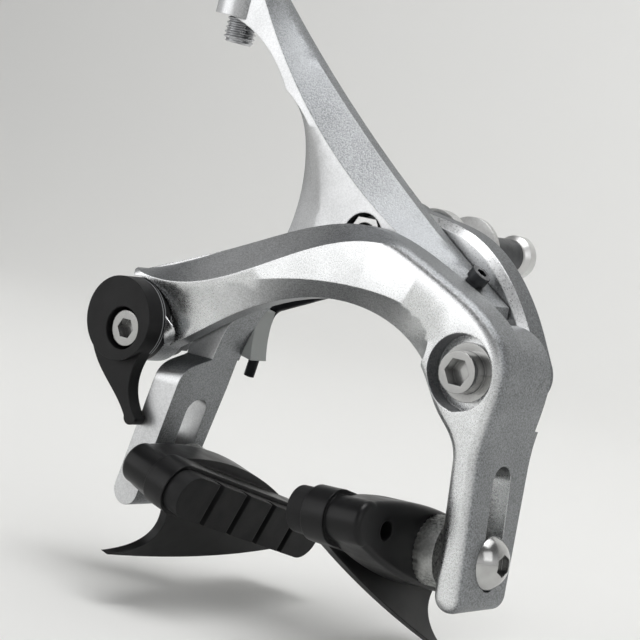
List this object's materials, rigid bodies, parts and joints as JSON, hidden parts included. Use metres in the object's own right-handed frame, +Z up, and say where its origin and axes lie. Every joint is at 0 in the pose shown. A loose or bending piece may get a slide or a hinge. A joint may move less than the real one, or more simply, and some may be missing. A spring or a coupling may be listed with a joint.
{
  "type": "dual pivot caliper brake",
  "caption": "Side-pull rim brake caliper: an arched arm and a lever arm on a pivot bracket close two finned brake shoes on a rim.",
  "frame": {"origin": "on the mounting bolt's axis, on the seat washer's rear face that meets the fork or stay", "axes": "+X to the right as seen from the front, +Y back along the mounting bolt, +Z up towards the cable"},
  "size_m": [0.1078, 0.091, 0.1444],
  "materials": {
    "satin_alloy": "forged aluminium with a satin grain and polished edges",
    "bracket_alloy": "forged aluminium with a coarser satin grain",
    "bright_steel": "bright plated steel",
    "dark_steel": "dull dark plated steel",
    "bush_nylon": "dark filled nylon",
    "slide_nylon": "grey translucent nylon",
    "spring_wire": "black oxide spring wire",
    "black_plastic": "matte black moulded plastic",
    "adjuster_alloy": "turned aluminium",
    "washer_cast": "rough grey sintered steel",
    "shoe_black": "satin black moulded holder",
    "pad_rubber": "black brake rubber"
  },
  "bodies": {
    "bracket_body": {"pivot_bracket": "bracket_alloy", "centre_bolt": "dark_steel", "lock_nut": "bright_steel", "centre_washers": "bright_steel", "seat_bush": "bracket_alloy", "seat_washer": "bright_steel", "dome_washer": "bright_steel", "mounting_nut": "dark_steel", "side_pivot_bolt": "bright_steel", "side_pivot_washer": "bright_steel", "return_spring": "spring_wire"},
    "arched_arm": {"c_arm": "satin_alloy", "side_pivot_bush": "bush_nylon", "right_cup_washer": "washer_cast", "right_ball_washer": "washer_cast", "right_shoe": "shoe_black", "right_pad": "pad_rubber", "right_shoe_bolt": "bright_steel"},
    "lever_arm": {"y_arm": "satin_alloy", "centre_bush": "bush_nylon", "centring_screw": "dark_steel", "spring_slide": "slide_nylon", "adjuster_seal": "pad_rubber", "left_cup_washer": "washer_cast", "left_ball_washer": "washer_cast", "left_shoe": "shoe_black", "left_pad": "pad_rubber", "left_shoe_bolt": "bright_steel"},
    "cable_release": {"quick_release": "black_plastic", "anchor_bolt": "bright_steel", "clamp_plate": "dark_steel", "anchor_nut": "dark_steel"},
    "cable_adjuster": {"barrel_adjuster": "adjuster_alloy"}
  },
  "joints": [
    {"name": "arched_arm_swing", "type": "hinge", "parent": "bracket_body", "child": "arched_arm", "pos_m": [0.0352, -0.028, -0.0215], "axis": [0, 1, 0], "range_deg": [0, 8], "stiffness_Nm_per_rad": 1.5, "springref_deg": -20.05},
    {"name": "lever_arm_swing", "type": "hinge", "parent": "bracket_body", "child": "lever_arm", "pos_m": [0, -0.0236, 0], "axis": [0, 1, 0], "range_deg": [-5, 0]},
    {"name": "release_turn", "type": "hinge", "parent": "arched_arm", "child": "cable_release", "pos_m": [-0.051, -0.035, -0.0275], "axis": [0, 1, 0], "range_deg": [0, 100]},
    {"name": "adjuster_turn", "type": "hinge", "parent": "lever_arm", "child": "cable_adjuster", "pos_m": [-0.0454, -0.0236, 0.0466], "axis": [0.1011, 0, 0.9949], "range_deg": [-180, 180]}
  ],
  "couplings": [
    {"joint": "lever_arm_swing", "follows": "arched_arm_swing", "ratio": -0.6}
  ]
}
